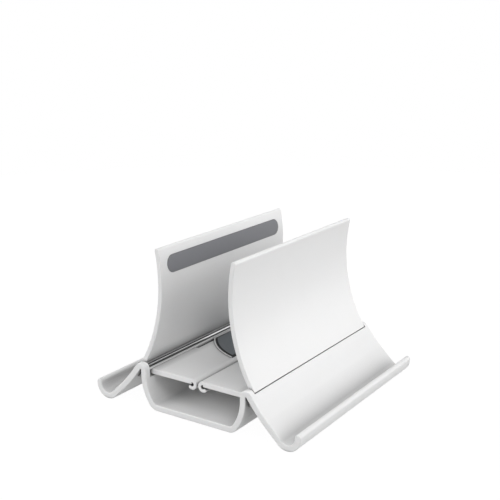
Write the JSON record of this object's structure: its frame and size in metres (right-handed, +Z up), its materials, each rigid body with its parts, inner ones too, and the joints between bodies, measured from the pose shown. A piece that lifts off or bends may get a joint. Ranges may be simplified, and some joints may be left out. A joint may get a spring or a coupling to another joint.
{
  "type": "laptop stand",
  "caption": "Upright laptop stand whose curved wings close on a laptop as it presses their floor plates, with a sloping rest and a trough along each side.",
  "frame": {"origin": "centre of the footprint on the table plane", "axes": "+X along the channel, +Y across it from the front rest to the rear rest, +Z up"},
  "size_m": [0.135, 0.1392, 0.0952],
  "materials": {
    "white_plastic": "satin",
    "grip_silicone": "matte",
    "pad_silicone": "matte",
    "rod_steel": "bright",
    "foot_rubber": "matte"
  },
  "bodies": {
    "base": {"base": "white_plastic", "rear_hinge_rod": "rod_steel", "front_hinge_rod": "rod_steel", "rear_foot_near": "foot_rubber", "rear_foot_far": "foot_rubber", "front_foot_near": "foot_rubber", "front_foot_far": "foot_rubber"},
    "rear_wing": {"rear_wing": "white_plastic", "rear_wing_strip": "grip_silicone", "rear_rest_pad": "pad_silicone"},
    "front_wing": {"front_wing": "white_plastic", "front_wing_strip": "grip_silicone", "front_rest_pad": "pad_silicone"}
  },
  "joints": [
    {"name": "rear_wing_hinge", "type": "hinge", "parent": "base", "child": "rear_wing", "pos_m": [0, 0.03422, 0.02496], "axis": [1, 0, 0], "range_deg": [0, 19]},
    {"name": "front_wing_hinge", "type": "hinge", "parent": "base", "child": "front_wing", "pos_m": [0, -0.03422, 0.02496], "axis": [-1, 0, 0], "range_deg": [0, 19]}
  ]
}
